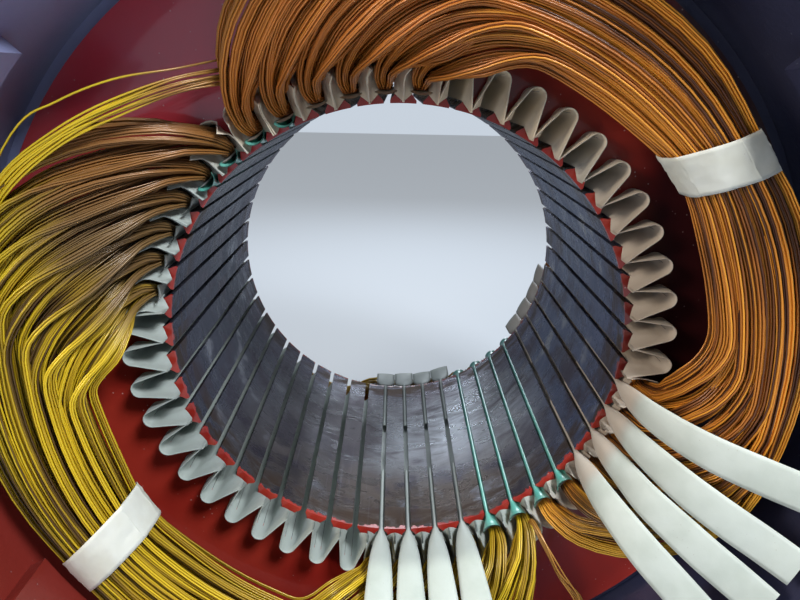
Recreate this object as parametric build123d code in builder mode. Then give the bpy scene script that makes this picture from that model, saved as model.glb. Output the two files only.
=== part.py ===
"""Stator of a large two-pole motor, half way through being wound by hand.

The bore's axis is Y and the end that faces -Y is called the near end.
The origin is on the bore's axis, half way along the laminated core, and +Z is up.
Angles are in degrees, from +X towards +Z, as seen from the near end.
"""

import math
import os

from build123d import *

# Laminated core
bore_radius = 150.0
core_radius = 260.0
core_length = 242.0

# Slots
slot_count = 48
slot_pitch = 360 / slot_count
slot_opening = 4.0
lip_depth = 1.6
shoulder_depth = 5.0
mouth_half_width = 4.9
slot_bottom_radius = 178.5
slot_round = 6.3
tooth_root_radius = 176.0
bend_facets = 4

# Slot liners
liner_clearance = 0.15
liner_thickness = 0.5
liner_overhang = 15.0
liner_mouth_gap = 0.5

# Coils
coil_clearance = 0.3
coil_cap_gap = 1.6
coils_per_group = 6
slots_per_group = 2 * coils_per_group
bundle_diameter = 16.0
bundle_gap = 0.6
bundle_facets = 6
band_inner_radius = 187.0
band_depth = 47.0
coil_straight = 26.0
coil_bend = 44.0
lead_cut = 9.0
lead_overlap = 2.0
group_centre = 37.5

# Slot caps and feeder strips
capped_slots_per_side = 4
cap_thickness = 0.8
cap_half_width = 4.1
cap_overhang = 13.0
cap_lip_gap = 0.6
strips_per_side = 4
strip_thickness = 0.5
strip_width = 19.5
strip_in_slot = 82.0
strip_flare_length = 28.0
strip_straight_length = 4.0
strip_lift = 4.0
strip_end_radius = 250.0
far_strip_flare_length = 12.0
far_strip_straight_length = 9.0

# Tape bands
tape_width = 28.0
tape_thickness = 0.8
tape_clearance = 0.4
tape_corner = 6.0
right_tape_angle = 36.5
left_tape_angle = 212.5

# Housing
seat_clearance = 0.1
seat_length = 230.0
housing_length = 462.0
housing_inner_radius = 268.0
housing_outer_radius = 284.0
end_ring_radius = 304.0
end_ring_width = 30.0
fin_radius = 306.0
fin_thickness = 5.0
fin_pitch = 8.0
fin_free_top = 8.0
fin_low_side = 12.0
fin_low_middle = 30.0
lug_inner_radius = 256.0
lug_half_angle = 6.0
lug_length = 48.0
near_bolt_x = 226.0
near_bolt_z = 165.0
far_bolt_x = 237.0
far_bolt_z = 149.0
shield_bolt_radius = 8.75
shield_bolt_depth = 26.0

# Feet
shaft_height = 315.0
foot_hole_x = 254.0
foot_hole_y = 203.0
foot_hole_radius = 14.0
foot_length = 450.0
foot_inner_x = 212.0
foot_side_inset = 6.0
foot_plate = 25.0
foot_web = 24.0
foot_web_y = 160.0
foot_top_x = 266.0
foot_top_z = -112.0
foot_clearance = 0.1

# Lifting eyes
eye_y = 120.0
pad_side = 52.0
pad_inset = 13.0
eye_collar_radius = 20.0
eye_collar_height = 10.0
eye_ring_radius = 27.0
eye_bar_radius = 8.0
eye_bar_facets = 8
eye_ring_facets = 16

face_y = core_length / 2
slot_bottom_centre = slot_bottom_radius - slot_round
mouth_radius = bore_radius + shoulder_depth
cap_radius = mouth_radius + cap_lip_gap
coil_inner_radius = cap_radius + cap_thickness + coil_cap_gap
coil_radius = 165.0
bundle_pitch = bundle_diameter + bundle_gap
coil_lead = 1.5 * slot_pitch
band_step = 2 * slot_pitch
foot_outer_x = fin_radius - foot_side_inset
pad_top = fin_radius - pad_inset
slot_angles = [slot_pitch * (k + 0.5) for k in range(slot_count)]

# Slots in use, counted from +X towards +Z
first_top_slot = 11
top_slots = range(first_top_slot, first_top_slot + slots_per_group)
left_slots = range(first_top_slot + slots_per_group, first_top_slot + 2 * slots_per_group)
bottom_slots = range(first_top_slot + 2 * slots_per_group, first_top_slot + 3 * slots_per_group)
right_slots = [k % slot_count for k in range(first_top_slot + 3 * slots_per_group, first_top_slot + slot_count)]
capped_top = list(top_slots)[strips_per_side:strips_per_side + capped_slots_per_side]
capped_bottom = list(bottom_slots)[strips_per_side:strips_per_side + capped_slots_per_side]
strips_bottom = list(bottom_slots)[:strips_per_side]
strips_right = list(bottom_slots)[-strips_per_side:]


def turned(angle):
    """The place that carries a piece drawn along +X round to the given angle."""
    return Location((0, 0, 0), (0, -angle, 0))


def slot_half_width(radius):
    """Half the slot's width at a radius, between its mouth and its round bottom."""
    share = (radius - mouth_radius) / (slot_bottom_centre - mouth_radius)
    return mouth_half_width + share * (slot_round - mouth_half_width)


def bottom_bend(inset):
    """Points round the slot's bottom, inset by a distance, from one flank to the other."""
    reach = slot_round - inset
    turns = [math.radians(90 - 180 * n / bend_facets) for n in range(bend_facets + 1)]
    return [(slot_bottom_centre + reach * math.cos(turn), reach * math.sin(turn)) for turn in turns]


def coil_side_outline():
    """The outline of a coil's side inside its lined slot, drawn along +X."""
    inset = liner_clearance + liner_thickness + coil_clearance
    half = slot_half_width(coil_inner_radius) - inset
    return [(coil_inner_radius, half), *bottom_bend(inset), (coil_inner_radius, -half)]


def liner_outline():
    """The U of paper that lines a slot, drawn along +X."""
    outer = liner_clearance
    inner = liner_clearance + liner_thickness
    edge = mouth_radius + liner_mouth_gap
    half = slot_half_width(edge)
    outside = [(edge, half - outer), *bottom_bend(outer), (edge, outer - half)]
    inside = [(edge, half - inner), *bottom_bend(inner), (edge, inner - half)]
    return outside + inside[::-1]


def slot_outline():
    """A slot in the lamination, open to the bore, drawn along +X."""
    flank = [
        (mouth_radius, mouth_half_width),
        (bore_radius + lip_depth, slot_opening / 2),
        (bore_radius - lip_depth, slot_opening / 2),
    ]
    other_flank = [(radius, -half) for radius, half in reversed(flank)]
    return [*flank, *other_flank, *reversed(bottom_bend(0))]


# One lamination, with its slots open to the bore
with BuildSketch() as lamination:
    Circle(core_radius)
    Circle(bore_radius, mode=Mode.SUBTRACT)
    with PolarLocations(0, slot_count, start_angle=slot_angles[0]):
        with BuildSketch(mode=Mode.PRIVATE) as slot:
            with BuildLine():
                Polyline(*slot_outline(), close=True)
            make_face()
        add(slot.sketch, mode=Mode.SUBTRACT)

# The core's yoke, with the round bottoms of the slots
with BuildPart() as core_yoke:
    with BuildSketch(Plane.XZ.offset(face_y)) as ring:
        add(lamination.sketch)
        Circle(tooth_root_radius, mode=Mode.SUBTRACT)
    extrude(amount=-core_length)

# The core's teeth, one between each two slots
with BuildPart() as core_teeth:
    with BuildSketch(Plane.XZ.offset(face_y)) as teeth:
        add(lamination.sketch)
        Circle(tooth_root_radius, mode=Mode.INTERSECT)
    extrude(amount=-core_length)

# One slot liner, drawn along +X
with BuildPart() as liner:
    with BuildSketch(Plane.XZ) as channel:
        with BuildLine():
            Polyline(*liner_outline(), close=True)
        make_face()
    extrude(amount=face_y + liner_overhang, both=True)


def liners(slots):
    """Slot liners for the given slots."""
    with BuildPart() as group:
        for k in slots:
            add(liner.part.moved(turned(slot_angles[k])))
    return group


slot_liners_right = liners(right_slots)
slot_liners_top = liners(top_slots)
slot_liners_left = liners(left_slots)
slot_liners_bottom = liners(bottom_slots)


def eased(points, cut):
    """The same route with each corner cut off at a distance from it."""
    route = [Vector(*points[0])]
    for before, corner, after in zip(points, points[1:], points[2:]):
        for other in (before, after):
            way = Vector(*other) - Vector(*corner)
            route.append(Vector(*corner) + way.normalized() * cut)
    return [*route, Vector(*points[-1])]


def end_turn_route(coil):
    """The centre line of a coil's end turn at the near end, from one side to the other."""
    half_span = slot_pitch * (slots_per_group / 2 + 0.5 + coil)
    column, row = divmod(coil, 2)
    radius = band_inner_radius + bundle_pitch * (column + 0.5)
    depth = band_depth + bundle_pitch * (row + 0.5)
    sweep_half = half_span - coil_lead
    steps = round(2 * sweep_half / band_step)

    def point(radial, angle, out):
        turn = math.radians(group_centre + angle)
        return (radial * math.cos(turn), -face_y - out, radial * math.sin(turn))

    band = [point(radius, sweep_half * (1 - 2 * n / steps), depth) for n in range(steps + 1)]
    start = [point(coil_radius, half_span, coil_straight), point(coil_radius, half_span, coil_bend), band[0]]
    end = [band[-1], point(coil_radius, -half_span, coil_bend), point(coil_radius, -half_span, coil_straight)]
    towards_band = band[1]
    lead_in = eased([*start, towards_band], lead_cut)[:-1]
    lead_out = eased([band[-2], *end], lead_cut)[1:]
    return [*lead_in, *band[1:-1], *lead_out]


def coil_solid(coil):
    """One whole coil: two sides in their slots and an end turn at each end."""
    half_span = slot_pitch * (slots_per_group / 2 + 0.5 + coil)
    with BuildPart(mode=Mode.PRIVATE) as side:
        with BuildSketch(Plane.XZ) as section:
            with BuildLine():
                Polyline(*coil_side_outline(), close=True)
            make_face()
        extrude(amount=face_y + coil_straight + lead_overlap, both=True)
    with BuildPart(mode=Mode.PRIVATE) as turn:
        with BuildLine() as route:
            Polyline(*end_turn_route(coil))
        with BuildSketch(Plane(route.line @ 0, z_dir=route.line % 0)) as section:
            RegularPolygon(bundle_diameter / 2, bundle_facets)
        sweep(path=route.line, transition=Transition.RIGHT)
    with BuildPart() as loop:
        add(side.part.moved(turned(group_centre + half_span)))
        add(side.part.moved(turned(group_centre - half_span)))
        add(turn.part)
        add(mirror(turn.part, about=Plane.XZ))
    return loop


coils_right = [coil_solid(coil) for coil in range(coils_per_group)]


def opposite(piece):
    """A copy of a piece, turned half way round the bore's axis."""
    with BuildPart() as copy:
        add(piece.part.moved(turned(180)))
    return copy


coils_left = [opposite(coil) for coil in coils_right]


def tape_band(angle, end):
    """Paper tape round a whole bundle at an angle, at the near (-1) or far (1) end."""
    depth = 2 * bundle_pitch + 2 * tape_clearance
    half_bundle = bundle_pitch / 2
    nearest = (band_inner_radius + half_bundle) * math.cos(math.radians(band_step / 2)) - half_bundle
    farthest = band_inner_radius + coils_per_group / 2 * bundle_pitch
    width = farthest - nearest + 2 * tape_clearance
    middle_radius = (nearest + farthest) / 2
    middle_depth = face_y + band_depth + bundle_pitch
    sweep_angle = math.degrees(tape_width / middle_radius)
    with BuildPart() as band:
        with BuildSketch(Plane.XY) as section:
            with Locations((middle_radius, end * middle_depth)):
                outside = Rectangle(width + 2 * tape_thickness, depth + 2 * tape_thickness)
                chamfer(outside.vertices(), tape_corner)
                with BuildSketch(mode=Mode.PRIVATE) as hollow:
                    inside = Rectangle(width, depth)
                    chamfer(inside.vertices(), tape_corner - tape_thickness)
                add(hollow.sketch, mode=Mode.SUBTRACT)
        revolve(axis=Axis.Y, revolution_arc=sweep_angle)
    with BuildPart() as placed:
        add(band.part.moved(turned(angle + sweep_angle / 2)))
    return placed


# One slot cap, drawn along +X
with BuildPart() as cap:
    with BuildSketch(Plane.YZ.offset(cap_radius)) as blank:
        Rectangle(core_length + 2 * cap_overhang, 2 * cap_half_width)
    extrude(amount=cap_thickness)


def slot_caps(slots):
    """Caps that close the mouths of the given slots under their coils."""
    with BuildPart() as group:
        for k in slots:
            add(cap.part.moved(turned(slot_angles[k])))
    return group


slot_caps_top = slot_caps(capped_top)
slot_caps_bottom = slot_caps(capped_bottom)


def strip_blank(flare_length, full_length):
    """The flat part of a feeder strip: narrow in its slot, then flared, then at full width."""
    narrow = cap_half_width
    wide = strip_width / 2
    flare_start = face_y + liner_overhang
    flare_end = flare_start + flare_length
    with BuildLine() as outline:
        Polyline(
            (face_y - strip_in_slot, narrow),
            (flare_start, narrow),
            (flare_end, wide),
            (flare_end + full_length, wide),
            (flare_end + full_length, -wide),
            (flare_end, -wide),
            (flare_start, -narrow),
            (face_y - strip_in_slot, -narrow),
            close=True,
        )
    return outline.line


strip_turn_y = face_y + liner_overhang + strip_flare_length + strip_straight_length
strip_front_y = face_y + band_depth + 2 * bundle_pitch + strip_lift
strip_bend = strip_front_y - strip_turn_y
strip_middle = cap_radius + strip_thickness / 2

# One long feeder strip, drawn along +X at the far end and bent outwards over the bundles
with BuildPart() as long_strip:
    with BuildSketch(Plane.YZ.offset(cap_radius)) as blank:
        with BuildLine():
            add(strip_blank(strip_flare_length, strip_straight_length))
        make_face()
    extrude(amount=strip_thickness)
    with BuildSketch(Plane.XY) as bent:
        with BuildLine() as route:
            arc = CenterArc((strip_middle + strip_bend, strip_turn_y), strip_bend, 180, -90)
            Line(arc @ 1, (strip_end_radius, strip_front_y))
        trace(line_width=strip_thickness)
    extrude(amount=strip_width / 2, both=True)

# One short feeder strip, drawn along +X at the far end
with BuildPart() as short_strip:
    with BuildSketch(Plane.YZ.offset(cap_radius)) as blank:
        with BuildLine():
            add(strip_blank(far_strip_flare_length, far_strip_straight_length))
        make_face()
    extrude(amount=strip_thickness)


def feeder_strips(strip, slots):
    """Paper strips that guide the wire into the given slots."""
    with BuildPart() as group:
        for k in slots:
            add(strip.moved(turned(slot_angles[k])))
    return group


long_near_strip = mirror(long_strip.part, about=Plane.XZ)
strips_near_bottom = feeder_strips(long_near_strip, strips_bottom)
strips_near_right = feeder_strips(long_near_strip, strips_right)
strips_far_bottom = feeder_strips(short_strip.part, strips_bottom)
strips_far_right = feeder_strips(short_strip.part, strips_right)

# Housing, cast in one piece with its cooling fins and the lugs for the end shields' bolts
half_housing = housing_length / 2
wall_middle = (housing_inner_radius + housing_outer_radius) / 2
fin_angles = [
    n * fin_pitch
    for n in range(round(360 / fin_pitch))
    if abs(n * fin_pitch - 90) > fin_free_top
    and (abs(n * fin_pitch - 90) <= 90 + fin_low_side
         or n * fin_pitch >= 360 - fin_low_side
         or abs(n * fin_pitch - 270) <= fin_low_middle)
]

with BuildPart() as housing:
    with BuildSketch(Plane.XZ.offset(half_housing - end_ring_width)) as wall:
        Circle(housing_outer_radius)
        for angle in fin_angles:
            with PolarLocations((wall_middle + fin_radius) / 2, 1, start_angle=angle):
                Rectangle(fin_radius - wall_middle, fin_thickness)
        Circle(housing_inner_radius, mode=Mode.SUBTRACT)
    extrude(amount=-(housing_length - 2 * end_ring_width))
    with BuildSketch(Plane.XZ.offset(half_housing), Plane.XZ.offset(end_ring_width - half_housing)) as rings:
        Circle(end_ring_radius)
        Circle(housing_inner_radius, mode=Mode.SUBTRACT)
    extrude(amount=-end_ring_width)
    with BuildSketch(Plane.XZ.offset(seat_length / 2)) as seat:
        Circle(wall_middle)
        Circle(core_radius + seat_clearance, mode=Mode.SUBTRACT)
    extrude(amount=-seat_length)
    for lug_y, bolt_x, bolt_z in (
        (-half_housing, near_bolt_x, near_bolt_z),
        (half_housing - lug_length, far_bolt_x, far_bolt_z),
    ):
        lug_angle = math.degrees(math.atan2(bolt_z, bolt_x))
        with BuildSketch(Plane.XZ.offset(-lug_y)) as lugs:
            for angle in (lug_angle, 180 - lug_angle, 180 + lug_angle, -lug_angle):
                with BuildLine():
                    inner = CenterArc((0, 0), lug_inner_radius, angle - lug_half_angle, 2 * lug_half_angle)
                    outer = CenterArc((0, 0), wall_middle, angle - lug_half_angle, 2 * lug_half_angle)
                    Line(inner @ 0, outer @ 0)
                    Line(inner @ 1, outer @ 1)
                make_face()
        extrude(amount=-lug_length)
    with BuildSketch(Plane.XY.offset(pad_top)) as pads:
        with Locations((0, -eye_y), (0, eye_y)):
            Rectangle(pad_side, pad_side)
    extrude(amount=wall_middle - pad_top)
    for hole_y, bolt_x, bolt_z in (
        (-half_housing, near_bolt_x, near_bolt_z),
        (half_housing - shield_bolt_depth, far_bolt_x, far_bolt_z),
    ):
        with BuildSketch(Plane.XZ.offset(-hole_y)) as bolt_holes:
            with GridLocations(2 * bolt_x, 2 * bolt_z, 2, 2):
                Circle(shield_bolt_radius)
        extrude(amount=-shield_bolt_depth, mode=Mode.SUBTRACT)

# Feet, one on each side
with BuildPart() as foot_right:
    with BuildSketch(Plane.XY.offset(-shaft_height)) as plate:
        with Locations(((foot_inner_x + foot_outer_x) / 2, 0)):
            Rectangle(foot_outer_x - foot_inner_x, foot_length)
        with Locations((foot_hole_x, -foot_hole_y), (foot_hole_x, foot_hole_y)):
            Circle(foot_hole_radius, mode=Mode.SUBTRACT)
    extrude(amount=foot_plate)
    with BuildSketch(Plane.XZ.offset(foot_web_y), Plane.XZ.offset(-foot_web_y)) as webs:
        with BuildLine():
            Polyline(
                (foot_inner_x, foot_plate - shaft_height),
                (foot_outer_x, foot_plate - shaft_height),
                (foot_top_x, foot_top_z),
                (foot_inner_x, foot_top_z),
                close=True,
            )
        make_face()
        Circle(housing_outer_radius + foot_clearance, mode=Mode.SUBTRACT)
    extrude(amount=foot_web / 2, both=True)

with BuildPart() as foot_left:
    add(mirror(foot_right.part, about=Plane.YZ))


# An eye bolt on the housing's pads, drawn half way along them
eye_centre = pad_top + eye_collar_height + eye_ring_radius
ring_turns = [2 * math.pi * (n + 0.5) / eye_ring_facets for n in range(eye_ring_facets)]
ring_corners = [
    (eye_ring_radius * math.sin(turn), eye_centre + eye_ring_radius * math.cos(turn))
    for turn in ring_turns
]
ring_top = (0, ring_corners[0][1])
with BuildPart() as eye_bolt:
    with BuildSketch(Plane.XY.offset(pad_top)):
        Circle(eye_collar_radius)
    extrude(amount=eye_collar_height)
    with BuildLine(Plane.YZ) as ring:
        Polyline(ring_top, *ring_corners, ring_top)
    with BuildSketch(Plane(ring.line @ 0, z_dir=ring.line % 0)):
        RegularPolygon(eye_bar_radius, eye_bar_facets, rotation=180 / eye_bar_facets)
    sweep(path=ring.line, transition=Transition.RIGHT)


def lifting_eye(y):
    """An eye bolt at a place along the housing."""
    with BuildPart() as eye:
        add(eye_bolt.part.moved(Location((0, y, 0))))
    return eye


pieces = {
    "core_yoke": core_yoke,
    "core_teeth": core_teeth,
    "slot_liners_right": slot_liners_right,
    "slot_liners_top": slot_liners_top,
    "slot_liners_left": slot_liners_left,
    "slot_liners_bottom": slot_liners_bottom,
    "tape_near_right": tape_band(right_tape_angle, -1),
    "tape_near_left": tape_band(left_tape_angle, -1),
    "tape_far_right": tape_band(right_tape_angle, 1),
    "tape_far_left": tape_band(left_tape_angle, 1),
    "slot_caps_top": slot_caps_top,
    "slot_caps_bottom": slot_caps_bottom,
    "feeder_strips_near_bottom": strips_near_bottom,
    "feeder_strips_near_right": strips_near_right,
    "feeder_strips_far_bottom": strips_far_bottom,
    "feeder_strips_far_right": strips_far_right,
    "housing": housing,
    "foot_right": foot_right,
    "foot_left": foot_left,
    "lifting_eye_near": lifting_eye(-eye_y),
    "lifting_eye_far": lifting_eye(eye_y),
}
for number, (right, left) in enumerate(zip(coils_right, coils_left), start=1):
    pieces[f"coil_right_{number}"] = right
    pieces[f"coil_left_{number}"] = left

os.makedirs("parts", exist_ok=True)
for name, piece in pieces.items():
    piece.part.label = name
    export_step(piece.part, f"parts/{name}.step")
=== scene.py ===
# %% [markdown]
# # Motor stator, half wound
#
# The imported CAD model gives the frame: every piece below is built in the same coordinates,
# in metres, with the bore along Y, the photographed end at -Y and +Z up.
# The CAD core, housing and feet are shown with new materials.
# The wires, paper and film are soft things, so they are modelled again here, in place of their CAD nodes.

# %% Imports and frame
import math

import bpy
import numpy as np
from mathutils import Matrix, Vector


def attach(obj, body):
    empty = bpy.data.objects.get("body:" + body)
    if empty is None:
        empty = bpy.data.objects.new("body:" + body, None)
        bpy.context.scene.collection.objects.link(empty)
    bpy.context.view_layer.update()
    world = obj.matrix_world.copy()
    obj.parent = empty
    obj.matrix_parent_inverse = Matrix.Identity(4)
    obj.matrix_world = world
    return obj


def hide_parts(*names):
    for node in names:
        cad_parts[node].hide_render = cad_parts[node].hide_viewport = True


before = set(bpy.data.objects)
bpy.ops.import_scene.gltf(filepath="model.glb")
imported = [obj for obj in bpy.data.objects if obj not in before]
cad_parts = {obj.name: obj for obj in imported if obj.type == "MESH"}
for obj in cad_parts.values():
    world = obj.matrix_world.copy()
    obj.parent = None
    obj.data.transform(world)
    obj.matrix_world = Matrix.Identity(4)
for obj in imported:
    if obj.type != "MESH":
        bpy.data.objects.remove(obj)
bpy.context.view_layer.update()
for packed in list(bpy.data.materials):
    bpy.data.materials.remove(packed)
print(len(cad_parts), "CAD nodes")

# %% [markdown]
# ## Sizes shared by all pieces
#
# Slot k lies at 7.5 degrees times k plus a half, measured from +X towards +Z.
# Sizes are in metres.

# %% Slots: sizes and angles
face_y = 0.121
slot_count = 48
slot_pitch = math.radians(360 / slot_count)
bore_radius = 0.150
mouth_radius = 0.1552
round_centre_radius = 0.1722
mouth_half_width = 0.0049
round_half_width = 0.0063
paper_thickness = 0.0005
film_thickness = 0.00035
strip_thickness = 0.0004


def slot_angle(k):
    """Angle of slot k from +X towards +Z."""
    return slot_pitch * (k + 0.5)


def polar(radius, angle, y):
    """Points at a radius and angle round the bore."""
    return np.stack([radius * np.cos(angle), y + 0 * radius, radius * np.sin(angle)], axis=-1)


def smooth(x, low, high):
    """0 below low, 1 above high, smooth between."""
    t = np.clip((x - low) / (high - low), 0, 1)
    return t * t * (3 - 2 * t)


print("slot 0 at", math.degrees(slot_angle(0)), "degrees")

# %% [markdown]
# ## Mesh helpers
#
# All pieces are grids of points, filled from numpy arrays.
# A float attribute named shade carries a value per strand of wire to the material.

# %% Grids, tubes and splines
def grid_faces(rows, columns, wrap_rows=False, wrap_columns=False, first=0):
    """Quads between neighbours in a grid of points."""
    r = np.arange(rows if wrap_rows else rows - 1)
    c = np.arange(columns if wrap_columns else columns - 1)
    r, c = np.meshgrid(r, c, indexing="ij")
    r2 = (r + 1) % rows
    c2 = (c + 1) % columns
    quads = np.stack([r * columns + c, r * columns + c2, r2 * columns + c2, r2 * columns + c], axis=-1)
    return quads.reshape(-1, 4) + first


def mesh_piece(name, points, quads, material, shade=None):
    """A smooth-shaded object from points and quads."""
    mesh = bpy.data.meshes.new(name)
    mesh.vertices.add(len(points))
    mesh.vertices.foreach_set("co", np.asarray(points, np.float32).ravel())
    mesh.loops.add(4 * len(quads))
    mesh.loops.foreach_set("vertex_index", np.asarray(quads, np.int32).ravel())
    mesh.polygons.add(len(quads))
    mesh.polygons.foreach_set("loop_start", np.arange(0, 4 * len(quads), 4, dtype=np.int32))
    mesh.polygons.foreach_set("use_smooth", np.ones(len(quads), bool))
    mesh.update(calc_edges=True)
    mesh.validate()
    if shade is not None:
        layer = mesh.attributes.new("shade", "FLOAT", "POINT")
        layer.data.foreach_set("value", np.asarray(shade, np.float32))
    mesh.materials.append(material)
    piece = bpy.data.objects.new(name, mesh)
    bpy.context.scene.collection.objects.link(piece)
    return piece

# %% Several grids as one piece
class Patchwork:
    """Collects grids of points into one piece."""

    def __init__(self):
        self.points = []
        self.quads = []
        self.count = 0

    def add(self, grid, wrap_rows=False, wrap_columns=False, flip=False):
        rows, columns = grid.shape[:2]
        quads = grid_faces(rows, columns, wrap_rows, wrap_columns, self.count)
        self.quads.append(quads[:, ::-1] if flip else quads)
        self.points.append(grid.reshape(-1, 3))
        self.count += rows * columns

    def piece(self, name, material):
        return mesh_piece(name, np.concatenate(self.points), np.concatenate(self.quads), material)

# %% Round tubes along many paths
def tubes(paths, radius, sides, closed=True):
    """Round tubes along paths, an array of (wires, points, 3)."""
    wires, count = paths.shape[:2]
    tangent = np.roll(paths, -1, axis=1) - np.roll(paths, 1, axis=1)
    if not closed:
        tangent[:, 0] = paths[:, 1] - paths[:, 0]
        tangent[:, -1] = paths[:, -1] - paths[:, -2]
    tangent /= np.linalg.norm(tangent, axis=-1, keepdims=True)
    normal = np.zeros_like(paths)
    start = np.cross(tangent[:, 0], [0.31, 0.17, 0.93])
    normal[:, 0] = start / np.linalg.norm(start, axis=-1, keepdims=True)
    for i in range(1, count):
        n = normal[:, i - 1]
        n = n - (n * tangent[:, i]).sum(-1, keepdims=True) * tangent[:, i]
        normal[:, i] = n / np.linalg.norm(n, axis=-1, keepdims=True)
    n = normal[:, -1]
    n = n - (n * tangent[:, 0]).sum(-1, keepdims=True) * tangent[:, 0]
    side = np.cross(tangent[:, 0], normal[:, 0])
    miss = np.arctan2((n * side).sum(-1), (n * normal[:, 0]).sum(-1)) * closed
    turn = -miss[:, None] * np.arange(count)[None, :] / count
    binormal = np.cross(tangent, normal)
    ring = np.arange(sides) * 2 * math.pi / sides
    angle = ring[None, None, :] + turn[:, :, None]
    cosine, sine = np.cos(angle)[..., None], np.sin(angle)[..., None]
    offset = cosine * normal[:, :, None, :] + sine * binormal[:, :, None, :]
    points = paths[:, :, None, :] + radius * offset
    quads = grid_faces(count, sides, closed, True)
    quads = (quads[None] + (np.arange(wires) * count * sides)[:, None, None]).reshape(-1, 4)
    return points.reshape(-1, 3), quads

# %% A smooth line through keys
def spline(keys, count):
    """Catmull-Rom curve through keys, an array of (keys, values), at count even steps."""
    keys = np.asarray(keys, float)
    padded = np.concatenate([2 * keys[:1] - keys[1:2], keys, 2 * keys[-1:] - keys[-2:-1]])
    place = np.linspace(0, len(keys) - 1, count)
    i = np.minimum(place.astype(int), len(keys) - 2)
    t = (place - i)[:, None]
    a, b, c, d = padded[i], padded[i + 1], padded[i + 2], padded[i + 3]
    return 0.5 * (2 * b + (c - a) * t + (2 * a - 5 * b + 4 * c - d) * t**2 + (3 * b - a - 3 * c + d) * t**3)


print("helpers ready")

# %% [markdown]
# ## Material helpers
#
# Each material is a node tree around one Principled shader.
# Constants are set on its sockets, and patterns come from Object coordinates.

# %% Material helpers
def link(material, source, target):
    """Links one socket to another."""
    material.node_tree.links.new(source, target)


def new_material(name, **constants):
    """A material with one Principled shader and the given socket values."""
    material = bpy.data.materials.new(name)
    material.use_nodes = True
    nodes = material.node_tree.nodes
    nodes.clear()
    output = nodes.new("ShaderNodeOutputMaterial")
    shader = nodes.new("ShaderNodeBsdfPrincipled")
    link(material, shader.outputs["BSDF"], output.inputs["Surface"])
    for socket, value in constants.items():
        shader.inputs[socket.replace("_", " ")].default_value = value
    return material, shader


def object_coordinates(material):
    """Coordinates that stay with the object."""
    return material.node_tree.nodes.new("ShaderNodeTexCoord").outputs["Object"]

# %% Patterns and masks
def noise(material, vector, scale, detail=3.0, roughness=0.5, distortion=0.0):
    """Noise as a value from 0 to 1."""
    node = material.node_tree.nodes.new("ShaderNodeTexNoise")
    node.inputs["Scale"].default_value = scale
    node.inputs["Detail"].default_value = detail
    node.inputs["Roughness"].default_value = roughness
    node.inputs["Distortion"].default_value = distortion
    link(material, vector, node.inputs["Vector"])
    return node.outputs["Fac"]


def parts_of(material, vector, axis):
    """One coordinate of a vector."""
    node = material.node_tree.nodes.new("ShaderNodeSeparateXYZ")
    link(material, vector, node.inputs["Vector"])
    return node.outputs[axis]


def ramp(material, value, low, high, to_low=0.0, to_high=1.0):
    """Value mapped smoothly from low..high to to_low..to_high."""
    node = material.node_tree.nodes.new("ShaderNodeMapRange")
    node.interpolation_type = "SMOOTHSTEP"
    node.inputs["From Min"].default_value = low
    node.inputs["From Max"].default_value = high
    node.inputs["To Min"].default_value = to_low
    node.inputs["To Max"].default_value = to_high
    link(material, value, node.inputs["Value"])
    return node.outputs["Result"]


def math_node(material, operation, a, b=None, c=None):
    """A maths node on sockets or numbers."""
    node = material.node_tree.nodes.new("ShaderNodeMath")
    node.operation = operation
    for i, value in enumerate((a, b, c)):
        if value is None:
            continue
        if isinstance(value, (int, float)):
            node.inputs[i].default_value = value
        else:
            link(material, value, node.inputs[i])
    return node.outputs["Value"]


def times(material, a, b):
    """The product of two values."""
    return math_node(material, "MULTIPLY", a, b)


def mix(material, factor, a, b, blend="MIX"):
    """A colour between a and b, which are sockets or colours."""
    node = material.node_tree.nodes.new("ShaderNodeMix")
    node.data_type = "RGBA"
    node.blend_type = blend
    for i, value in ((0, factor), (6, a), (7, b)):
        if isinstance(value, (int, float)):
            node.inputs[i].default_value = value
        elif isinstance(value, tuple):
            node.inputs[i].default_value = value + (1.0,)
        else:
            link(material, value, node.inputs[i])
    return node.outputs[2]

# %% Bumps and coordinates
def bump(material, height, strength, distance, normal=None):
    """A normal from a height."""
    node = material.node_tree.nodes.new("ShaderNodeBump")
    node.inputs["Strength"].default_value = strength
    node.inputs["Distance"].default_value = distance
    link(material, height, node.inputs["Height"])
    if normal is not None:
        link(material, normal, node.inputs["Normal"])
    return node.outputs["Normal"]


def stretched(material, vector, scale):
    """The vector scaled along each axis."""
    node = material.node_tree.nodes.new("ShaderNodeMapping")
    node.inputs["Scale"].default_value = scale
    link(material, vector, node.inputs["Vector"])
    return node.outputs["Vector"]


def around_bore(material, vector):
    """Vector (arc length round the bore, Y, radius) and its radius."""
    nodes = material.node_tree.nodes
    parts = nodes.new("ShaderNodeSeparateXYZ")
    link(material, vector, parts.inputs["Vector"])
    x, y, z = parts.outputs
    square = math_node(material, "ADD", times(material, x, x), times(material, z, z))
    radius = math_node(material, "SQRT", square)
    arc = times(material, math_node(material, "ARCTAN2", z, x), bore_radius)
    joined = nodes.new("ShaderNodeCombineXYZ")
    link(material, arc, joined.inputs["X"])
    link(material, y, joined.inputs["Y"])
    link(material, radius, joined.inputs["Z"])
    return joined.outputs["Vector"], radius, y


print("material helpers ready")

# %% [markdown]
# ## Dust and fibre, shared by several materials
#
# A workshop leaves pale specks on paint, enamel and wire, and paper shows its fibres.
# Each effect is a node group, built once, that puts out a mask or a normal.
# Every material places it with its own scale and strength.

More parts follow.
